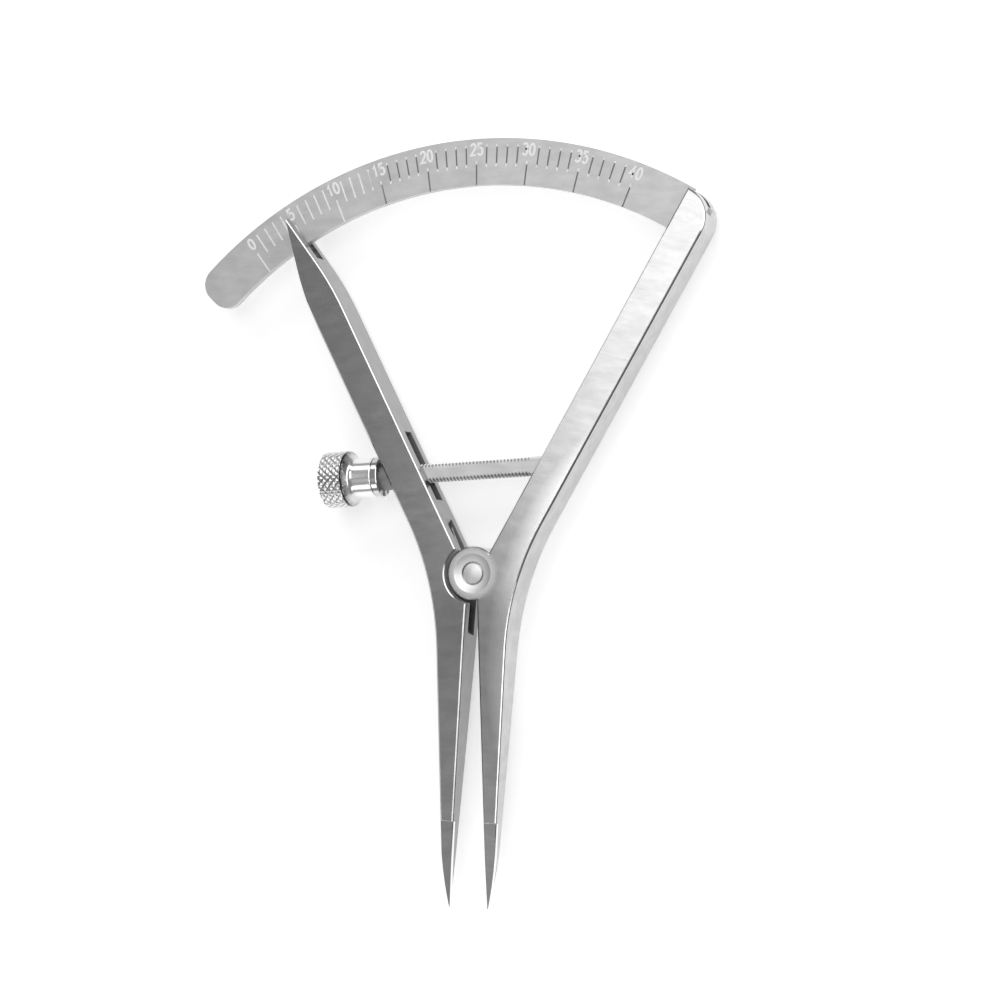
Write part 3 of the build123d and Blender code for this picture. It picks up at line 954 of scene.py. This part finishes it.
def add_camera():
    """Camera that looks down on the caliper from its right, as the photograph does."""
    lens = bpy.data.cameras.new("camera")
    lens.sensor_width = sensor_width
    lens.lens = sensor_width * focal_length / picture_width
    lens.clip_start = camera_near
    holder = new_object("camera", lens)
    turn = Matrix.Rotation(radians(caliper_turn), 3, "Z")
    forward = turn @ Vector(camera_forward).normalized()
    right = turn @ Vector(camera_right)
    right = (right - forward * right.dot(forward)).normalized()
    up = right.cross(forward)
    place = pivot - forward * camera_distance + right * camera_across + up * camera_up
    turned = Matrix((right, up, -forward)).transposed().to_4x4()
    holder.matrix_world = Matrix.Translation(place) @ turned
    bpy.context.scene.camera = holder


def add_floor():
    """Pale floor that is lifted to white where it is seen, directly or in the steel."""
    level = cad_box[0].z - floor_gap
    signs = ((-1, -1), (1, -1), (1, 1), (-1, 1))
    corners = [(x * floor_reach, y * floor_reach, level) for x, y in signs]
    floor = new_object("floor", new_mesh("floor", corners, [(0, 1, 2, 3)]))
    material, tree = new_material("floor_white")
    shader = tree.nodes["Principled BSDF"]
    shader.inputs["Base Color"].default_value = (floor_white, floor_white, floor_white, 1)
    shader.inputs["Roughness"].default_value = floor_roughness
    seen = add(tree, "ShaderNodeLightPath").outputs
    direct = combined(tree, "MAXIMUM", seen["Is Camera Ray"], seen["Is Glossy Ray"])
    either = combined(tree, "MAXIMUM", direct, seen["Is Transmission Ray"])
    lift = combined(tree, "MULTIPLY", either, floor_lift)
    tree.links.new(lift, shader.inputs["Emission Strength"])
    shader.inputs["Emission Color"].default_value = (1, 1, 1, 1)
    floor.data.materials.append(material)


def add_world():
    world = bpy.data.worlds.new("studio")
    bpy.context.scene.world = world
    world.use_nodes = True
    back = world.node_tree.nodes["Background"]
    back.inputs["Color"].default_value = (world_grey, world_grey, world_grey, 1)
    back.inputs["Strength"].default_value = 1.0


# Scene

bpy.context.scene.view_settings.view_transform = "Standard"
add_world()
add_floor()
add_camera()
for softbox in LAMPS:
    add_softbox(*softbox)

# Finishes
# The arms' edge greys are painted shade, their rim and halo greys painted highlights.
scale_arm_steel = steel("scale_arm_steel", grey=0.62, roughness=0.19, relief=0.25, grain=-10,
                        edge=(0.015, 0.015), rim=0.98, halo=(0.99, 0.5))
# The pointer arm's side grey is a painted shade.
pointer_arm_steel = steel("pointer_arm_steel", grey=0.52, roughness=0.19, relief=0.25, grain=10,
                          side=0.35, edge=(0.02, 0.12))
# Rougher, darker grey for the milled faces in the slots; on the washer's narrow part it is a
# painted shade.
milled_and_shaded_steel = steel("milled_and_shaded_steel", grey=0.34, roughness=0.6, spread=0.05)
# Near-white painted light on the recess wall, which lifts its shade, with a rougher finish.
recess_painted_light_steel = steel("recess_painted_light_steel", grey=0.95, roughness=0.75, spread=0.05)
arc_steel = steel("arc_steel", grey=0.73, roughness=0.55, spread=0.05)
bright_steel = steel("polished_steel", grey=0.72, roughness=0.14, spread=0.03)
nut_steel = knurled_steel("nut_steel", grey=0.97, groove_grey=0.3, roughness=0.2)
pin_steel = steel("pin_steel", grey=0.99, roughness=0.5)
screw_steel = steel("screw_steel", grey=0.85, roughness=0.5)
# Painted shade in the deep parts of the thread.
thread_shade_steel = steel("thread_shade_steel", grey=0.38, roughness=0.5)
wire_steel = steel("spring_steel", grey=0.55, roughness=0.22, spread=0.05)
figure_white = etched_white("figure_white")
graduation_white = etched_white("graduation_white", painted_reflection_fade, tick_ends)
long_graduation_white = etched_white("long_graduation_white", painted_reflection_fade, (long_tick_end,))

# CAD nodes that show, with finishes of their own
dress("scale_arm", scale_arm_steel)
dress("pointer_arm", pointer_arm_steel)
dress("scale_arc", arc_steel)
dress("arc_rivet", scale_arm_steel)
dress("pivot_pin", pin_steel)
dress("screw_pin", scale_arm_steel)
for arm in ("scale_arm", "pointer_arm"):
    dress_faces(frame["nodes"][arm], milled_and_shaded_steel, is_milled)
# Painted light on the recess wall.
dress_faces(frame["nodes"]["pointer_arm"], recess_painted_light_steel, in_recess)
dress_faces(frame["nodes"]["scale_arc"], graduation_white, in_groove)
dress_faces(frame["nodes"]["scale_arc"], long_graduation_white, in_long_groove)

# Pieces that stand for CAD nodes, and the figures
add_piece(make_nut(), nut_steel, "polished_steel", "nut", "knurled_nut")
washer = make_washer()
add_piece(washer, bright_steel, "polished_steel", "washer", "seat_washer")
# Painted shade on the washer's narrow part, in the arm's shadow.
dress_faces(washer, milled_and_shaded_steel, in_nose)
screw = make_screw()
add_piece(screw, screw_steel, "polished_steel", "screw", "adjusting_screw")
# Painted shade in the thread's deep parts.
dress_faces(screw, thread_shade_steel, in_thread)
add_piece(make_figures(), figure_white, "arc_steel", "scale_side")

spring = make_spring()
spring.data.materials.append(wire_steel)
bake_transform(spring)
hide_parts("spring")
